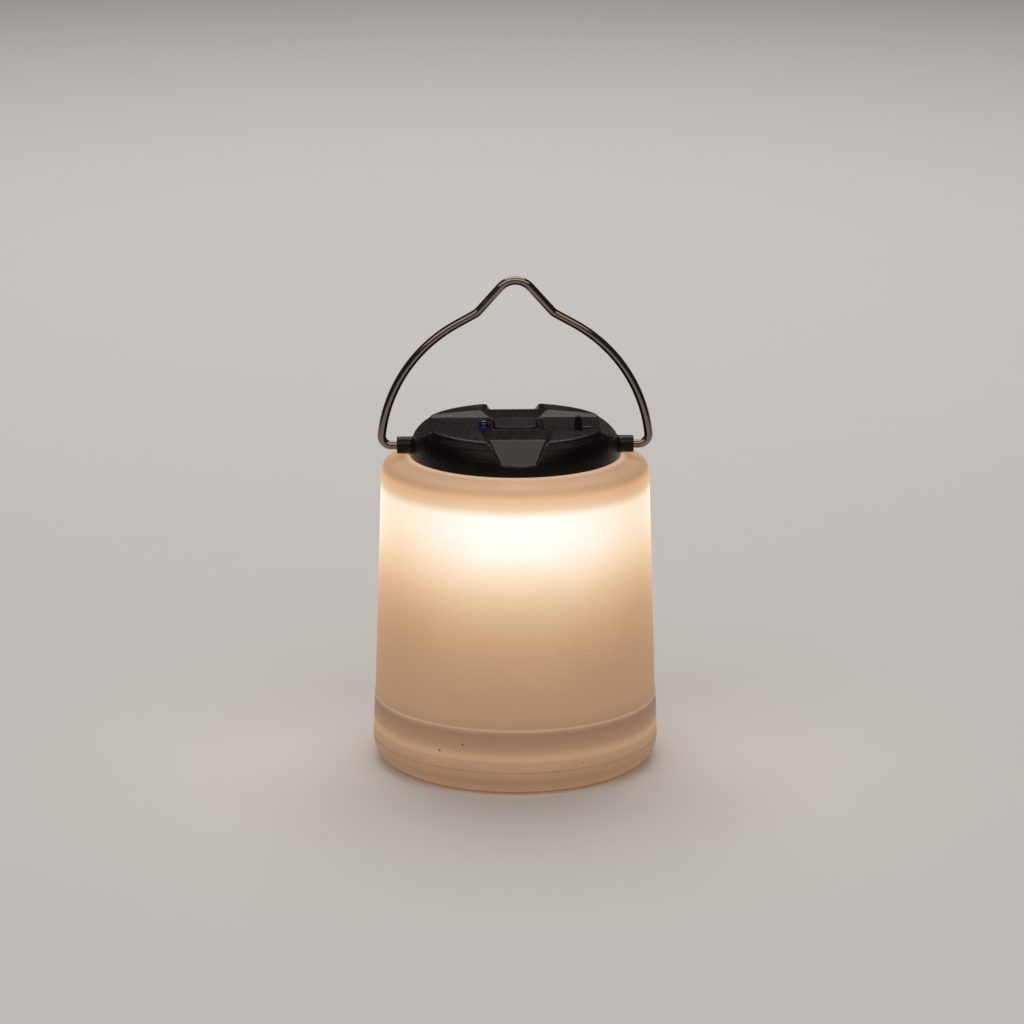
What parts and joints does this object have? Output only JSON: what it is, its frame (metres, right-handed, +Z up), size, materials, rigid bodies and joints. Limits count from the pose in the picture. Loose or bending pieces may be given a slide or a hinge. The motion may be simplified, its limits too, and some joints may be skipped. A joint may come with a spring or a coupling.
{
  "type": "camping lantern",
  "caption": "Small camping lantern with a frosted cylindrical shade, a black control head on top and a folding wire bail.",
  "frame": {"origin": "centre of the base, on the ground it stands on", "axes": "+Z up along the shade's axis; X along the bail's pivots; the side with the sloping front ramp and the controls faces -Y"},
  "size_m": [0.0848, 0.0848, 0.1451],
  "materials": {
    "shade_plastic": "frosted, translucent, warm light shines through",
    "base_plastic": "frosted, translucent",
    "crown_plastic": "black, fine spark texture on top, smoother on the side",
    "button_plastic": "black, satin",
    "knob_plastic": "black, satin",
    "wire_steel": "dark nickel plated wire",
    "lamp_epoxy": "clear, blue light inside",
    "plug_rubber": "matt",
    "seal_rubber": "matt",
    "tray_plastic": "moulded, reflective white",
    "screw_steel": "zinc plated",
    "board_laminate": "green solder mask",
    "switch_body": "moulded",
    "switch_plunger": "moulded",
    "socket_steel": "drawn shell",
    "battery_foil": "laminated foil",
    "foam": "closed cell",
    "lead_insulation": "smooth",
    "lamp_board": "white solder mask",
    "lamp_chip": "phosphor",
    "diffuser_plastic": "frosted"
  },
  "bodies": {
    "lantern": {"shade": "shade_plastic", "base_cap": "base_plastic", "base_seal": "seal_rubber", "crown_cover": "crown_plastic", "head_tray": "tray_plastic", "head_gasket": "seal_rubber", "head_screws": "screw_steel", "tact_switch": "switch_body", "slide_switch": "switch_body", "indicator_led": "lamp_epoxy", "main_board": "board_laminate", "board_screws": "screw_steel", "usb_socket": "socket_steel", "battery_pouch": "battery_foil", "battery_pad": "foam", "battery_leads": "lead_insulation", "led_board": "lamp_board", "led_chips": "lamp_chip", "led_board_screws": "screw_steel", "led_leads": "lead_insulation", "diffuser": "diffuser_plastic"},
    "button": {"power_button": "button_plastic", "switch_plunger": "switch_plunger"},
    "mode_knob": {"slide_knob": "knob_plastic"},
    "plug": {"port_plug": "plug_rubber"},
    "bail": {"bail": "wire_steel"}
  },
  "joints": [
    {"name": "bail_swing", "type": "hinge", "parent": "lantern", "child": "bail", "pos_m": [0, 0, 0.095], "axis": [1, 0, 0], "range_deg": [-95, 95]},
    {"name": "button_press", "type": "slide", "parent": "lantern", "child": "button", "axis": [0, 0, -1], "range_m": [0, 0.0005], "stiffness_N_per_m": 1500, "springref_m": -0.0003},
    {"name": "mode_slide", "type": "slide", "parent": "lantern", "child": "mode_knob", "axis": [1, 0, 0], "range_m": [0, 0.002]},
    {"name": "plug_swing", "type": "hinge", "parent": "lantern", "child": "plug", "pos_m": [0.02184, 0.02065, 0.09559], "axis": [0.1094, 0.1563, -0.9816], "range_deg": [0, 95]}
  ]
}
